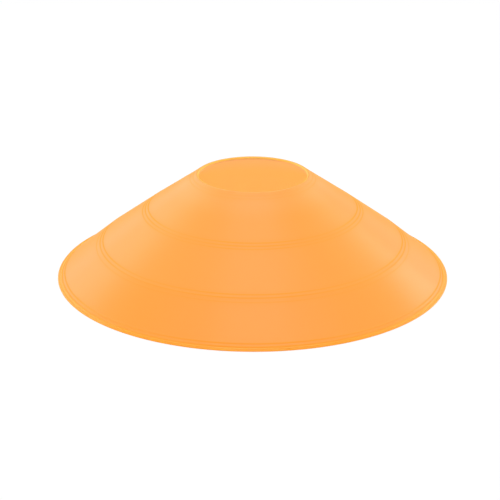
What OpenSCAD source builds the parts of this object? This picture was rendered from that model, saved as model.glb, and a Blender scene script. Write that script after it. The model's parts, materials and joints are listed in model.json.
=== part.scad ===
// Training disc cone: a low hollow marker for a playing field, moulded in one piece.
// It is open at the foot and at the top, so that discs stack and a carrying pole goes through the pile.
// The origin is on the ground, on the disc's axis, and +Z is up.

/* [Disc] */
// Largest diameter, over the bead at the foot
disc_d = 190; // [170:1:210]
// Height from the ground to the top of the lip
disc_h = 50.5; // [46:0.5:56]
// Thickness of the moulded wall, square to its surface
wall = 1.4; // [1.2:0.1:2]

/* [Foot and lip] */
// Diameter of the round bead along the foot's edge
foot_bead_d = 1; // [0.8:0.1:1.4]
// How far the foot's bead stands proud of the wall
foot_bead_h = 0.75; // [0.4:0.05:0.8]
// How much of the foot's bead is cut away, so that the disc stands on a flat ring
foot_cut = 0.2; // [0.1:0.05:0.3]
// Diameter of the round bead along the lip
lip_bead_d = 1.4; // [1.2:0.1:2]
// Diameter of the bore through the lip
bore_d = 52.2; // [46:0.2:56]
// Width of the lip, from its bore to the middle of its bead
lip_w = 0.9; // [0.8:0.1:2]
// Thickness of the lip from its top to its underside
lip_t = 1.6; // [1.4:0.1:3]
// Radius of the lip's inner edge
lip_edge_r = 0.4; // [0.2:0.1:0.6]

/* [Wall] */
// Height at which the wall has its lower corner, in the middle of a group of rings
low_group_z = 16.9; // [14:0.1:19]
// Height of the wall's upper corner
high_group_z = 33.3; // [30:0.1:36]
// How far the lower corner stands out past a straight cone from the foot to the lip
low_swell = 2.2; // [0:0.05:3]
// How far the upper corner stands out
high_swell = 1.75; // [0:0.05:3]

/* [Grip rings] */
// Rings at each corner of the wall
rings_in_group = 3; // [1:1:3]
// Rings above the foot's bead, and below the lip's
rings_at_bead = 2; // [0:1:2]
// Height from one ring of a group to the next
ring_rise = 1.05; // [1:0.05:1.6]
// Diameter of a ring's round section
ring_d = 1.3; // [1:0.1:1.3]
// How far the rings and the lip's bead stand proud of the wall
ring_h = 0.1; // [0.08:0.01:0.4]

/* [Hidden] */

turn_fn = 180;
round_fn = 32;

bore_r = bore_d / 2;
foot_bead_r = foot_bead_d / 2;
lip_bead_r = lip_bead_d / 2;
foot_bead = [disc_d / 2 - foot_bead_r, foot_bead_r - foot_cut];
lip_bead = [bore_r + lip_w, disc_h - lip_bead_r];

// The chord from bead to bead, and the direction square to it
chord = lip_bead - foot_bead;
chord_out = [chord.y, -chord.x] / norm(chord);

// The wall's outer surface starts and ends inside the beads, which stand proud of it
foot_end = foot_bead + (foot_bead_r - foot_bead_h) * chord_out;
lip_end = lip_bead + (lip_bead_r - ring_h) * chord_out;

// A point that stands out from the straight cone between those two ends
function on_cone(z, swell) =
    let (climb = (z - foot_end.y) / (lip_end.y - foot_end.y))
    [foot_end.x + (lip_end.x - foot_end.x) * climb + swell, z];

// The outer surface's corners from the foot up. The bands of wall between them are straight.
corners = [
    foot_end,
    on_cone(low_group_z, low_swell),
    on_cone(high_group_z, high_swell),
    lip_end
];
bands = len(corners) - 1;

// The direction square to each band
band_out = [
    for (i = [0 : bands - 1])
        let (run = corners[i + 1] - corners[i])
            [run.y, -run.x] / norm(run)
];

// The band on which a height lies
function band(z) = z < low_group_z ? 0 : z < high_group_z ? 1 : 2;

// A point that lies at a depth below the outer surface, square to its band
function in_wall(z, depth) =
    let (
        i = band(z),
        climb = (z - corners[i].y) / (corners[i + 1].y - corners[i].y)
    )
    corners[i] + climb * (corners[i + 1] - corners[i]) - depth * band_out[i];

// The same for a corner, mitred between the two bands that meet there
function in_corner(i, depth) =
    let (
        below = band_out[max(i - 1, 0)],
        above = band_out[min(i, bands - 1)]
    )
    corners[i] - depth * (below + above) / (1 + below * above);

// Heights of all rings: the groups at the wall's corners, and those beside the two beads
ring_heights = [
    for (middle = [low_group_z, high_group_z], i = [0 : rings_in_group - 1])
        middle + (i - (rings_in_group - 1) / 2) * ring_rise,
    for (i = [1 : 1 : rings_at_bead])
        each [foot_bead.y + i * ring_rise, lip_bead.y - i * ring_rise]
];

// The wall's cut face, as thick everywhere
module wall_face() {
    inside = [for (i = [bands : -1 : 0]) in_corner(i, wall)];
    polygon(concat(corners, inside));
}

// The grip rings, round in section and sunk into the wall
module ring_faces() {
    for (z = ring_heights)
        translate(in_wall(z, ring_d / 2 - ring_h))
            circle(d = ring_d, $fn = round_fn);
}

// The foot: the wall ends in a bead, and its underside is flat
module foot_face() {
    translate(foot_bead)
        circle(r = foot_bead_r, $fn = round_fn);
}

// The lip: a narrow ring round the bore, with a bead outside and a rounded edge inside
module lip_face() {
    underside = disc_h - lip_t;
    translate(lip_bead)
        circle(r = lip_bead_r, $fn = round_fn);
    translate([bore_r + lip_edge_r, disc_h - lip_edge_r])
        circle(r = lip_edge_r, $fn = round_fn);
    polygon([
        [bore_r, underside],
        in_wall(underside, wall / 2),
        lip_bead,
        [lip_bead.x, disc_h],
        [bore_r + lip_edge_r, disc_h],
        [bore_r, disc_h - lip_edge_r]
    ]);
}

module marker_disc() {
    color("#ffad52")
        rotate_extrude($fn = turn_fn)
            intersection() {
                union() {
                    wall_face();
                    ring_faces();
                    foot_face();
                    lip_face();
                }
                square([disc_d, disc_h]);
            }
}

marker_disc();
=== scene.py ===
import json
import math

import bpy
import numpy as np
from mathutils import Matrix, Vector


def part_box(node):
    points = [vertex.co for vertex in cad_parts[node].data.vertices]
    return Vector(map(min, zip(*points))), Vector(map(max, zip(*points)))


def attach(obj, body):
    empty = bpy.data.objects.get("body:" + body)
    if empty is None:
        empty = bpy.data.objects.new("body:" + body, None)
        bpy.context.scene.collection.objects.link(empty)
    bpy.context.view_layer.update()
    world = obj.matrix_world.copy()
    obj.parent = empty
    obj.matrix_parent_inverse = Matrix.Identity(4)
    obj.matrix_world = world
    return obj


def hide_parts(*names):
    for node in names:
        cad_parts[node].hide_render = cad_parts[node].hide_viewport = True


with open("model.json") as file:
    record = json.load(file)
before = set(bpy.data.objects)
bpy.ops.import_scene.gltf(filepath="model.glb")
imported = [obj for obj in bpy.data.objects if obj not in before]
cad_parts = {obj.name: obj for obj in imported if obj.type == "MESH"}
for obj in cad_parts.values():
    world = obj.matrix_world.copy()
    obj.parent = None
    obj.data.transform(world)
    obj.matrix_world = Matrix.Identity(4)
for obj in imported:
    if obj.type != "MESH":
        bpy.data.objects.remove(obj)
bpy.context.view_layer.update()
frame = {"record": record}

MM = 0.001

# The disc's width, height and bore, from the frame
DISC_LOW, DISC_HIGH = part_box("marker_disc")
DISC_R = min(-DISC_LOW[0], DISC_HIGH[0], -DISC_LOW[1], DISC_HIGH[1])
DISC_H = DISC_HIGH[2]
BORE_R = next(m for m in frame["record"]["mounts"] if m["name"] == "lip_bore")["dims"]["r_mm"] * MM

# The disc's other sizes, as its solid has them
WALL = 1.4 * MM
LOW_GROUP = 16.9 * MM
HIGH_GROUP = 33.3 * MM
LOW_SWELL = 2.2 * MM
HIGH_SWELL = 1.75 * MM
FOOT_BEAD_R = 0.5 * MM
FOOT_BEAD_PROUD = 0.75 * MM
FOOT_CUT = 0.2 * MM
LIP_BEAD_R = 0.7 * MM
RING_R = 0.65 * MM
RING_PROUD = 0.1 * MM
RING_RISE = 1.05 * MM
LIP_W = 0.9 * MM
LIP_T = 1.6 * MM

# The grip rings from the foot up: how far each lies from the even spacing, how clear its relief is, and how
# clear its line of deeper colour is. That line is partly the plastic's own deeper orange and partly painted
# shade in the ring's creases.
RING_SHIFTS = np.array([0, 0, -0.4, 0, 0, -0.05, -0.1, -0.15, 0.6, 0.6]) * MM
RELIEF_SHARES = np.array([0.6, 0.6, 0.2, 0.2, 0.2, 0.15, 0.15, 0.15, 0.15, 0.15])
LINE_SHARES = np.array([1.0, 1.0, 0.5, 0.9, 1.0, 0.75, 0.9, 1.0, 0.5, 0.5])

# How clear those lines are in front and behind, against the disc's sides, and in the quarters between them.
# A quarter's middle lies some degrees from the front or back, and it fades out from its core to its reach.
# The fade is painted light: it stands in for the light washing the lines out in the quarters.
FRONT_LINES = 0.8
QUARTER_LINES = 0.4
QUARTER_DEG = 38
QUARTER_CORE_DEG = 5
QUARTER_REACH_DEG = 30

# Roundings that a mould leaves in its corners. The foot's fillet takes some degrees off the bead below it,
# and the wall swells over a short way until it meets the lip's bead without a step.
FOOT_FILLET_R = 0.8 * MM
FOOT_FILLET_DEG = 50
RING_CREASE_R = 0.03 * MM
LIP_EASE = 3.0 * MM
LIP_ROUND_R = 0.8 * MM
BORE_FOOT_R = 0.4 * MM
LIP_FILLET_R = 0.2 * MM
HEEL_R = 0.15 * MM

# How far the deeper colour spreads round a ring and how clear it is there, how wide the ring's line is, and
# how strong the deeper colour is on the lip. That deeper colour is partly the plastic's own and partly
# painted shade, most of all in the rings' creases.
DEEP_BAND = 1.5 * MM
DEEP_BAND_SHARE = 0.12
DEEP_LINE = 0.4 * MM
LIP_DEEP_SHARE = 0.3

# How much paler the wall is painted near the hole, as a painted glow for light that comes through from the
# hollow, and how far below the top that starts and is full
PALE_SHARE = 0.15
PALE_START = 10 * MM
PALE_END = 3 * MM

# How much paler the bore's lower edge is painted, as painted light on a face that gets little light, and
# the inside under the lip, as a painted glow near the hole, and how far down the latter reaches
BORE_PALE_SHARE = 0.5
INSIDE_PALE_SHARE = 0.3
INSIDE_PALE_REACH = 12 * MM

# How much of the foot's colour the heel inside has
HEEL_FOOT_SHARE = 0.5

# Where on the crest's round, from 0 on top to 1 in the bore, the inside's colour starts, and where the
# rim's colour starts, is full and fades
CREST_INSIDE_START = 0.5
CREST_RIM_START = 0.1
CREST_RIM_FULL = 0.35
CREST_RIM_FADE = 0.8

# Spacing of the section's points along the plain wall and across a ring, and how much the wall climbs for
# its length. The fine points reach a number of half widths past a ring's middle, and one that lies closer
# to the next than a share of the fine spacing is dropped.
WALL_STEP = 2.0 * MM
RING_STEP = 0.1 * MM
WALL_CLIMB = 0.6
RING_REACH = 2.2
CLOSEST_SHARE = 0.3

# Numbers of points on the section's other stretches, and round the disc
FOOT_BEAD_POINTS = 20
FOOT_FILLET_POINTS = 8
LIP_BEAD_POINTS = 12
CREST_POINTS = 13
CORNER_POINTS = 5
INSIDE_POINTS = 48
TURN_POINTS = 320

# The shares that colour the plastic, each an attribute of the mesh
SHARES = ("deep", "foot", "pale", "rim", "inside")

# Half the width of a ring where it meets the wall: the circle's chord at that height
RING_HALF = math.sqrt(RING_R**2 - (RING_R - RING_PROUD)**2)

FOOT_BEAD = np.array([DISC_R - FOOT_BEAD_R, FOOT_BEAD_R - FOOT_CUT])
LIP_BEAD = np.array([BORE_R + LIP_W, DISC_H - LIP_BEAD_R])
LIP_UNDERSIDE = DISC_H - LIP_T
BORE_FOOT = np.array([BORE_R, LIP_UNDERSIDE])


def unit(vector):
    """A vector of length one in the same direction."""
    return vector / np.linalg.norm(vector)


def smooth(values, start, end):
    """A share that eases from 0 at the start value to 1 at the end value: 3 t^2 - 2 t^3."""
    t = np.clip((values - start) / (end - start), 0, 1)
    return t * t * (3 - 2 * t)


def arc(centre, radius, start, end, count):
    """Points on a circle, from one angle to the other in degrees."""
    angle = np.radians(np.linspace(start, end, count))
    return centre + radius * np.column_stack([np.cos(angle), np.sin(angle)])


def rounded(before, corner, after, radius, count=CORNER_POINTS):
    """A corner's round: the arc that touches both its sides, at radius / tan(half the corner's angle)."""
    a, b = unit(before - corner), unit(after - corner)
    half = math.acos(np.clip(a @ b, -1, 1)) / 2
    centre = corner + unit(a + b) * radius / math.sin(half)
    first, last = (corner + side * radius / math.tan(half) - centre for side in (a, b))
    turn = np.linspace(0, 1, count)[:, None]
    spread = math.pi - 2 * half
    blend = np.sin((1 - turn) * spread) * first + np.sin(turn * spread) * last
    return centre + blend / math.sin(spread)


CHORD_OUT = unit(np.array([LIP_BEAD[1] - FOOT_BEAD[1], FOOT_BEAD[0] - LIP_BEAD[0]]))
FOOT_END = FOOT_BEAD + (FOOT_BEAD_R - FOOT_BEAD_PROUD) * CHORD_OUT
LIP_END = LIP_BEAD + (LIP_BEAD_R - RING_PROUD) * CHORD_OUT


def on_cone(height, swell):
    """A point that stands out by a swell from the straight cone between the wall's two ends."""
    climb = (height - FOOT_END[1]) / (LIP_END[1] - FOOT_END[1])
    return [FOOT_END[0] + (LIP_END[0] - FOOT_END[0]) * climb + swell, height]


# The outer surface's corners, from the foot up. It is straight from one group of rings to the next.
CORNERS = np.array([FOOT_END, on_cone(LOW_GROUP, LOW_SWELL), on_cone(HIGH_GROUP, HIGH_SWELL), LIP_END])
BANDS = np.diff(CORNERS, axis=0)
BAND_OUT = np.column_stack([BANDS[:, 1], -BANDS[:, 0]]) / np.hypot(*BANDS.T)[:, None]


def wall_normal(height):
    """The direction square to the band of wall at a height."""
    band = np.searchsorted(CORNERS[:, 1], np.atleast_1d(height)) - 1
    return BAND_OUT[np.clip(band, 0, len(BANDS) - 1)]


def off_wall(height, proud):
    """Points that stand proud of the outer surface by the given amounts, square to it."""
    height = np.atleast_1d(height)
    base = np.column_stack([np.interp(height, CORNERS[:, 1], CORNERS[:, 0]), height])
    return base + wall_normal(height) * np.broadcast_to(proud, height.shape)[:, None]


def under_wall(depth):
    """The wall's corners at a depth: each mitred, by (a + b) / (1 + a . b) of its two bands' normals."""
    before = np.vstack([BAND_OUT[:1], BAND_OUT])
    after = np.vstack([BAND_OUT, BAND_OUT[-1:]])
    mitre = (before + after) / (1 + (before * after).sum(axis=1))[:, None]
    return CORNERS - depth * mitre


def inner_radius(height):
    """The inner surface's radius at a height."""
    inner = under_wall(WALL)
    return np.interp(height, inner[:, 1], inner[:, 0])


def ring_heights():
    """Heights of the grip rings: two above the foot's bead, three at each corner, two below the lip's."""
    even = np.concatenate([
        FOOT_BEAD[1] + RING_RISE * np.array([1, 2]),
        LOW_GROUP + RING_RISE * np.array([-1, 0, 1]),
        HIGH_GROUP + RING_RISE * np.array([-1, 0, 1]),
        LIP_BEAD[1] - RING_RISE * np.array([2, 1]),
    ])
    return even + RING_SHIFTS


def from_rings(height):
    """Distances from the middle of each ring, measured along the wall."""
    return (height[:, None] - ring_heights()) / wall_normal(height)[:, :1]


def ring_relief(height):
    """How far the rings stand proud: a circle's arc over each, with its two feet eased into the wall."""
    dome = np.sqrt(np.maximum(RING_R**2 - from_rings(height)**2, 0)) - (RING_R - RING_PROUD)
    eased = (dome + np.sqrt(dome**2 + RING_CREASE_R**2)) / 2
    return (eased * RELIEF_SHARES).max(axis=1)


def ring_deep_and_shade(height):
    """How strong the deeper colour is: a narrow bell over each ring, on top of a broad faint one. It is
    partly the plastic's own orange and partly painted shade in the rings' creases.
    """
    away = np.abs(from_rings(height))
    broad = np.exp(-(away / DEEP_BAND)**2).max(axis=1)
    narrow = np.exp(-(away / DEEP_LINE)**2) * LINE_SHARES
    return np.maximum(DEEP_BAND_SHARE * broad, narrow.max(axis=1))


def round_disc():
    """How clear the lines of deeper colour are at each step round the disc: fold is the angle from the
    front or the back, whichever is nearer, up to 90 degrees at the sides. Their fade in the quarters is
    painted light, where the light washes the lines out."""
    turn = 2 * np.pi * np.arange(TURN_POINTS) / TURN_POINTS
    fold = np.degrees(np.arcsin(np.abs(np.cos(turn))))
    side = smooth(fold, QUARTER_DEG, 90)
    quarter = smooth(np.abs(fold - QUARTER_DEG), QUARTER_CORE_DEG, QUARTER_REACH_DEG)
    return (FRONT_LINES + (1 - FRONT_LINES) * side) * (QUARTER_LINES + (1 - QUARTER_LINES) * quarter)


def wall_heights(low, high):
    """Heights of the wall's points, to a micrometre: even steps on the plain wall, fine ones on rings."""
    plain = np.arange(low, high, WALL_STEP * WALL_CLIMB)
    fine = np.arange(-RING_REACH * RING_HALF, RING_REACH * RING_HALF, RING_STEP) * WALL_CLIMB
    heights = np.concatenate([plain, (ring_heights()[:, None] + fine).ravel(), [low, high]])
    heights = np.unique(np.round(heights[(heights >= low) & (heights <= high)], 6))
    keep = np.append(np.diff(heights) > CLOSEST_SHARE * RING_STEP, True)
    return heights[keep]


def wall_lean(height):
    """How far up from the horizontal the wall faces at a height, in degrees."""
    out = wall_normal(height)[0]
    return math.degrees(math.atan2(out[1], out[0]))


def run(points, **shares):
    """A stretch of the section: its points, each with its colour shares. A share that isn't given is 0."""
    columns = [np.broadcast_to(shares.get(share, 0), len(points)) for share in SHARES]
    return np.column_stack([points, *columns])


def foot_and_wall(lip_start):
    """The outside, from the flat foot up to where the lip starts: the bead, its fillet and the wall."""
    meet = wall_lean(FOOT_END[1]) + math.degrees(math.acos((FOOT_BEAD_R - FOOT_BEAD_PROUD) / FOOT_BEAD_R))
    flat = math.degrees(math.asin((FOOT_BEAD_R - FOOT_CUT) / FOOT_BEAD_R))
    bead = arc(FOOT_BEAD, FOOT_BEAD_R, -flat, meet - FOOT_FILLET_DEG, FOOT_BEAD_POINTS)
    join = arc(FOOT_BEAD, FOOT_BEAD_R, meet, 0, 2)[0]
    above = off_wall(join[1] + FOOT_FILLET_R, 0)[0]
    fillet = rounded(bead[-1], join, above, FOOT_FILLET_R, FOOT_FILLET_POINTS)
    heights = wall_heights(fillet[-1, 1] + RING_STEP / 2, lip_start - RING_STEP)
    swell = RING_PROUD * smooth(heights, lip_start - LIP_EASE, lip_start)
    wall = off_wall(heights, ring_relief(heights) + swell)
    first_ring = FOOT_BEAD[1] + RING_RISE
    low_edge = 1 - smooth(heights, first_ring - RING_RISE / 2, first_ring)
    # Painted glow on the wall near the hole
    pale = PALE_SHARE * smooth(heights, DISC_H - PALE_START, DISC_H - PALE_END)
    return [
        run(bead, foot=1),
        run(fillet, foot=1),
        # The rings' deeper colour, with painted shade in their creases
        run(wall, deep=ring_deep_and_shade(heights), foot=low_edge, pale=pale),
    ]


def lip_and_bore(lip_root):
    """Over the lip and down the bore: the bead outside, the crest's round and the bore's lower edge."""
    bead = arc(LIP_BEAD, LIP_BEAD_R, wall_lean(LIP_END[1]), 90, LIP_BEAD_POINTS)
    crest_middle = np.array([BORE_R + LIP_ROUND_R, DISC_H - LIP_ROUND_R])
    crest = arc(crest_middle, LIP_ROUND_R, 90, 180, CREST_POINTS)
    turned = np.linspace(0, 1, CREST_POINTS)
    outward = LIP_DEEP_SHARE * (1 - turned)
    inward = smooth(turned, CREST_INSIDE_START, 1)
    rim = smooth(turned, CREST_RIM_START, CREST_RIM_FULL) * (1 - smooth(turned, CREST_RIM_FADE, 1))
    # Painted glow on the lip near the hole and on the bore's lower edge, and the lip's deeper colour with
    # painted shade
    return [
        run(bead, deep=LIP_DEEP_SHARE, pale=PALE_SHARE),
        run(crest, deep=outward, pale=BORE_PALE_SHARE * inward, rim=rim, inside=inward),
        run(rounded(crest[-1], BORE_FOOT, lip_root, BORE_FOOT_R), pale=BORE_PALE_SHARE, inside=1),
    ]


def inside_and_heel(lip_root):
    """From the lip's root down the inside, and round the heel onto the flat foot."""
    heights = np.linspace(LIP_UNDERSIDE - 2 * LIP_FILLET_R, 2 * HEEL_R, INSIDE_POINTS)
    wall = np.column_stack([inner_radius(heights), heights])
    heel = np.array([inner_radius(0), 0])
    flat_foot = np.array([FOOT_BEAD[0], 0])
    # Painted glow on the inside under the lip
    pale = INSIDE_PALE_SHARE * smooth(heights, LIP_UNDERSIDE - INSIDE_PALE_REACH, LIP_UNDERSIDE)
    return [
        run(rounded(BORE_FOOT, lip_root, wall[0], LIP_FILLET_R), pale=INSIDE_PALE_SHARE, inside=1),
        run(wall, pale=pale, inside=1),
        run(rounded(wall[-1], heel, flat_foot, HEEL_R), foot=HEEL_FOOT_SHARE, inside=1),
    ]


def disc_section():
    """The closed section, anticlockwise: up the outside, over the lip, down the bore and the inside, and
    along the flat foot. Each of its points has its colour shares, and the rings' share also fades round
    the disc as painted light."""
    lip_start = LIP_BEAD[1] + LIP_BEAD_R * wall_normal(LIP_END[1])[0, 1]
    lip_root = np.array([inner_radius(LIP_UNDERSIDE), LIP_UNDERSIDE])
    section = np.concatenate(foot_and_wall(lip_start) + lip_and_bore(lip_root) + inside_and_heel(lip_root))
    shares = dict(zip(SHARES, section[:, 2:].T[:, :, None]))
    # The rings' lines fade round the disc as painted light
    shares["deep"] = shares["deep"] * round_disc()
    return section[:, :2], shares


def revolve(name, section, shares):
    """Turns a closed section about the Z axis: the grid's point (i, j) is section point i turned by
    j / TURN_POINTS of a full turn. Both directions close on themselves, and the shares become
    attributes."""
    rows = len(section)
    turn = 2 * np.pi * np.arange(TURN_POINTS) / TURN_POINTS
    radius, height = section[:, :1], section[:, 1:]
    across = (radius * np.cos(turn), radius * np.sin(turn), height + 0 * turn)
    i, j = np.meshgrid(np.arange(rows), np.arange(TURN_POINTS), indexing="ij")
    next_i, next_j = (i + 1) % rows, (j + 1) % TURN_POINTS
    corners = np.stack([
        i * TURN_POINTS + j,
        i * TURN_POINTS + next_j,
        next_i * TURN_POINTS + next_j,
        next_i * TURN_POINTS + j,
    ], axis=-1).reshape(-1, 4)
    mesh = bpy.data.meshes.new(name)
    mesh.vertices.add(rows * TURN_POINTS)
    mesh.vertices.foreach_set("co", np.stack(across, axis=-1).ravel())
    mesh.loops.add(corners.size)
    mesh.loops.foreach_set("vertex_index", corners.ravel())
    mesh.polygons.add(len(corners))
    mesh.polygons.foreach_set("loop_start", 4 * np.arange(len(corners)))
    mesh.polygons.foreach_set("use_smooth", np.ones(len(corners), bool))
    mesh.update(calc_edges=True)
    mesh.validate()
    for share, values in shares.items():
        attribute = mesh.attributes.new(share, "FLOAT", "POINT")
        attribute.data.foreach_set("value", np.broadcast_to(values, (rows, TURN_POINTS)).ravel())
    piece = bpy.data.objects.new(name, mesh)
    bpy.context.collection.objects.link(piece)
    return piece


class Socket:
    """A shader value that ordinary Python sums build on: each operator adds its Math node."""

    def __init__(self, tree, output):
        self.tree = tree
        self.output = output

    def math(self, operation, first, second):
        return self.tree.node("ShaderNodeMath", {"operation": operation}, [first, second])

    def __add__(self, other):
        return self.math("ADD", self, other)

    def __rsub__(self, other):
        return self.math("SUBTRACT", other, self)

    def __mul__(self, other):
        return self.math("MULTIPLY", self, other)

    def larger(self, other):
        return self.math("MAXIMUM", self, other)

    __radd__ = __add__
    __rmul__ = __mul__


class Shader:
    """A node tree that is written as calls: each call adds a node and gives back one of its outputs."""

    def __init__(self, tree):
        self.tree = tree
        tree.nodes.clear()

    def node(self, kind, settings=None, inputs=(), output=0):
        """A node of one kind, with its settings and then the values or links of its sockets."""
        made = self.tree.nodes.new(kind)
        for key, value in (settings or {}).items():
            setattr(made, key, value)
        pairs = inputs.items() if isinstance(inputs, dict) else enumerate(inputs)
        for key, value in pairs:
            if isinstance(value, Socket):
                self.tree.links.new(value.output, made.inputs[key])
            else:
                made.inputs[key].default_value = value
        return Socket(self, made.outputs[output]) if made.outputs else None

    def mix(self, share, first, second):
        """A colour between two others. The sockets for colours come after those for numbers and vectors."""
        return self.node("ShaderNodeMix", {"data_type": "RGBA"}, {0: share, 6: first, 7: second}, output=2)

    def ramp(self, value, start, end):
        """A share that eases from 0 at the start value to 1 at the end value."""
        return self.node(
            "ShaderNodeMapRange",
            {"interpolation_type": "SMOOTHSTEP"},
            {"Value": value, "From Min": start, "From Max": end},
        )


def shade(red, green, blue):
    """A colour given as the eye reads it, from 0 to 255, turned to linear light."""
    levels = np.array([red, green, blue]) / 255
    linear = np.where(levels <= 0.04045, levels / 12.92, ((levels + 0.055) / 1.055) ** 2.4)
    return (*linear.tolist(), 1.0)


BODY_ORANGE = shade(255, 154, 62)
DEEP_ORANGE = shade(255, 147, 10)
# The foot's colour: more yellow than the body, and painted paler to make up for the shade under its bead
FOOT_ORANGE = shade(255, 161, 42)
# The painted glow's colour
PALE_ORANGE = shade(255, 177, 118)
RIM_ORANGE = shade(255, 184, 72)
# The inside's colour, painted lighter than the body to make up for the dimmer light in the hollow
INSIDE_ORANGE = shade(255, 178, 76)

# How much of the light that meets a face goes on through it, so that the hollow is bright inside
LET_THROUGH = 0.9

# The faint clouds in the colour and the fine orange peel of the skin: their scales and strengths
CLOUD_SCALE = 45.0
CLOUD_SHARE = 0.06
PEEL_SCALE = 900.0
PEEL_DEPTH = 0.02 * MM
PEEL_STRENGTH = 0.25

# How rough the skin is, and how much rougher in the clouds, inside, along the rings and where it faces away
ROUGH_PLAIN = 0.29
ROUGH_CLOUDS = 0.02
ROUGH_INSIDE = 0.3
ROUGH_RINGS = 0.3
ROUGH_AWAY = 0.35

# From where to where the skin counts as facing away: 0 faces the viewer and 1 is seen edge on
AWAY_START = 0.6
AWAY_FULL = 0.95

# How strongly the skin bends and mirrors light
SKIN_IOR = 1.5
SKIN_GLOSS = 0.21


def orange_plastic():
    """Satin, slightly translucent polyethylene with a fine orange peel. The section's shares tint it:
    deeper along the rings, partly painted crease shade that fades round the disc as painted light; more
    yellow on the foot and the lip's crest, the foot also painted paler for the shade under its bead; a
    painted glow near the hole, on the bore's lower edge and inside under the lip; and another orange
    inside, painted lighter for the dimmer light in the hollow. Faint clouds run through the colour."""
    material = bpy.data.materials.new("orange_plastic")
    material.use_nodes = True
    tree = Shader(material.node_tree)
    place = tree.node("ShaderNodeTexCoord", output="Object")
    deep, foot, pale, rim, inside = (
        tree.node("ShaderNodeAttribute", {"attribute_name": share}, output="Fac") for share in SHARES
    )
    clouds = tree.node("ShaderNodeTexNoise", inputs={"Vector": place, "Scale": CLOUD_SCALE, "Detail": 3.0})
    peel = tree.node("ShaderNodeTexNoise", inputs={"Vector": place, "Scale": PEEL_SCALE, "Detail": 2.0})
    # Deeper orange along the rings and on the lip, partly painted shade in the creases
    paint = tree.mix(deep, BODY_ORANGE, DEEP_ORANGE)
    # The inside, painted lighter against the hollow's dimmer light
    paint = tree.mix(inside, paint, INSIDE_ORANGE)
    # The foot: more yellow, and painted paler against the shade under its bead
    paint = tree.mix(foot, paint, FOOT_ORANGE)
    # Painted glow near the hole, on the bore's lower edge and inside under the lip
    paint = tree.mix(pale, paint, PALE_ORANGE)
    paint = tree.mix(rim, paint, RIM_ORANGE)
    paint = tree.mix(clouds * CLOUD_SHARE, paint, DEEP_ORANGE)
    skin = tree.node(
        "ShaderNodeBump",
        inputs={"Strength": PEEL_STRENGTH, "Distance": PEEL_DEPTH, "Height": peel},
    )
    facing = tree.node("ShaderNodeLayerWeight", inputs={"Blend": 0.5}, output="Facing")
    away = tree.ramp(facing, AWAY_START, AWAY_FULL)
    rough = ROUGH_PLAIN + ROUGH_CLOUDS * clouds + ROUGH_INSIDE * inside
    rough = rough + ROUGH_RINGS * deep + ROUGH_AWAY * away
    plastic = tree.node("ShaderNodeBsdfPrincipled", inputs={
        "Base Color": paint,
        "Roughness": rough,
        "IOR": SKIN_IOR,
        "Specular IOR Level": SKIN_GLOSS,
        "Normal": skin,
    })
    seen = tree.node("ShaderNodeLightPath", output="Is Camera Ray")
    clear = tree.node("ShaderNodeBsdfTransparent", inputs={"Color": (1, 1, 1, 1)})
    wall = tree.node("ShaderNodeMixShader", inputs=[(1 - seen) * LET_THROUGH, plastic, clear])
    tree.node("ShaderNodeOutputMaterial", inputs={"Surface": wall})
    return material


def make_disc():
    """The disc, one closed skin in place of its solid."""
    piece = revolve("marker_disc_shell", *disc_section())
    piece.data.materials.append(orange_plastic())
    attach(piece, "root")
    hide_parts("marker_disc")
    return piece


# The camera stands where the photograph's camera stood, for a disc of this size
CAMERA_AWAY = 9 * DISC_R
CAMERA_HEIGHT_DEG = 21.88
CAMERA_DIP_DEG = 21.173
CAMERA_ASIDE = -1.27 * MM
CAMERA_ROLL_DEG = 0.13
CAMERA_LENS = 125.4
CAMERA_SENSOR = 36


def make_camera():
    """The photograph's camera: in front of the disc, up on a slope, looking down a little less steeply."""
    data = bpy.data.cameras.new("camera")
    data.lens = CAMERA_LENS
    data.sensor_width = CAMERA_SENSOR
    camera = bpy.data.objects.new("camera", data)
    bpy.context.collection.objects.link(camera)
    up = math.radians(CAMERA_HEIGHT_DEG)
    camera.location = (CAMERA_ASIDE, -CAMERA_AWAY * math.cos(up), CAMERA_AWAY * math.sin(up))
    camera.rotation_mode = "ZYX"
    camera.rotation_euler = (math.radians(90 - CAMERA_DIP_DEG), 0, math.radians(CAMERA_ROLL_DEG))
    bpy.context.scene.camera = camera


def seen_plainly(tree):
    """One where the camera sees a surface, by itself or through a reflection or glass, and zero where the
    surface only gets or gives light."""
    camera, gloss, glass = (
        tree.node("ShaderNodeLightPath", output=ray)
        for ray in ("Is Camera Ray", "Is Glossy Ray", "Is Transmission Ray")
    )
    return camera.larger(gloss).larger(glass)


# The floor's half width, the grey of its paint, and the share of plain white that the camera sees in it,
# which grows to all of it between two distances from the disc
FLOOR_HALF = 4.0
FLOOR_GREY = 0.9
FLOOR_WHITE = 0.85
FLOOR_FADE_START = 0.2
FLOOR_FADE_END = 0.8

# The strength of the room's own light
ROOM_LIGHT = 0.03

# The soft boxes' width and their distance from the disc, in metres
BOX_SIZE = 0.7
BOX_AWAY = 1.5


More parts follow.
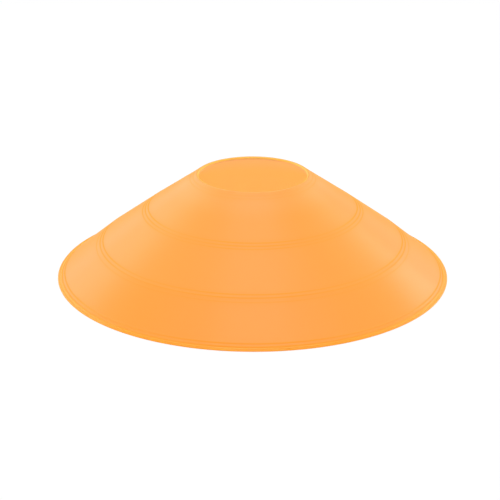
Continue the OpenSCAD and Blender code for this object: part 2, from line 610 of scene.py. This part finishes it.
def make_floor():
    """A wide pale floor under the disc. It looks mostly plain white, and keeps the disc's shadow."""
    half = FLOOR_HALF
    corners = [(-half, -half, 0), (half, -half, 0), (half, half, 0), (-half, half, 0)]
    mesh = bpy.data.meshes.new("floor")
    mesh.from_pydata(corners, [], [(0, 1, 2, 3)])
    floor = bpy.data.objects.new("floor", mesh)
    bpy.context.collection.objects.link(floor)
    material = bpy.data.materials.new("floor")
    material.use_nodes = True
    tree = Shader(material.node_tree)
    seen = seen_plainly(tree)
    paint = tree.node("ShaderNodeBsdfDiffuse", inputs={"Color": (FLOOR_GREY, FLOOR_GREY, FLOOR_GREY, 1)})
    white = tree.node("ShaderNodeEmission", inputs={"Color": (1, 1, 1, 1), "Strength": 1.0})
    place = tree.node("ShaderNodeTexCoord", output="Object")
    away = tree.node("ShaderNodeVectorMath", {"operation": "LENGTH"}, [place], output="Value")
    share = FLOOR_WHITE + (1 - FLOOR_WHITE) * tree.ramp(away, FLOOR_FADE_START, FLOOR_FADE_END)
    surface = tree.node("ShaderNodeMixShader", inputs=[seen * share, paint, white])
    tree.node("ShaderNodeOutputMaterial", inputs={"Surface": surface})
    mesh.materials.append(material)


def make_world():
    """A dim room, and pure white where the camera or a glossy surface sees past the floor."""
    world = bpy.data.worlds.new("studio")
    bpy.context.scene.world = world
    world.use_nodes = True
    tree = Shader(world.node_tree)
    seen = seen_plainly(tree)
    room = tree.node("ShaderNodeBackground", inputs={"Color": (1, 1, 1, 1), "Strength": ROOM_LIGHT})
    white = tree.node("ShaderNodeBackground", inputs={"Color": (1, 1, 1, 1), "Strength": 1.0})
    surface = tree.node("ShaderNodeMixShader", inputs=[seen, room, white])
    tree.node("ShaderNodeOutputWorld", inputs={"Surface": surface})


def softbox(name, round_deg, up_deg, power):
    """A square area light on a dome round the disc, facing its centre: degrees round from the front, to
    the right, and degrees up from the floor."""
    data = bpy.data.lights.new(name, "AREA")
    data.size = BOX_SIZE
    data.energy = power
    lamp = bpy.data.objects.new(name, data)
    turn, up = math.radians(round_deg), math.radians(up_deg)
    place = Vector((math.sin(turn) * math.cos(up), -math.cos(turn) * math.cos(up), math.sin(up)))
    lamp.location = place * BOX_AWAY
    lamp.rotation_euler = place.to_track_quat("Z", "Y").to_euler()
    lamp.visible_camera = False
    bpy.context.collection.objects.link(lamp)


def make_lights():
    """One box overhead, a ring of them high up, weaker ones halfway, and low ones in front, beside and
    behind. The low ones beside the disc give its wall the pale flanks."""
    softbox("overhead", 0, 90, 4.5)
    softbox("high_front", 0, 65, 4.1)
    softbox("high_right", 60, 65, 2.6)
    softbox("high_right_back", 120, 65, 1.2)
    softbox("high_back", 180, 65, 6.0)
    softbox("high_left_back", 240, 65, 1.8)
    softbox("high_left", 300, 65, 1.5)
    softbox("middle_right", 90, 40, 0.9)
    softbox("middle_right_back", 135, 40, 1.8)
    softbox("middle_left_back", 225, 40, 2.8)
    softbox("middle_left", 315, 40, 0.7)
    softbox("low_front", 0, 15, 4.2)
    softbox("low_right", 90, 15, 4.6)
    softbox("low_right_back", 125, 15, 4.0)
    softbox("low_back_left", 205, 15, 0.7)
    softbox("low_left_back", 235, 15, 2.2)
    softbox("low_left", 270, 15, 5.9)


bpy.context.scene.view_settings.view_transform = "Standard"
make_camera()
make_world()
make_floor()
make_lights()
make_disc()
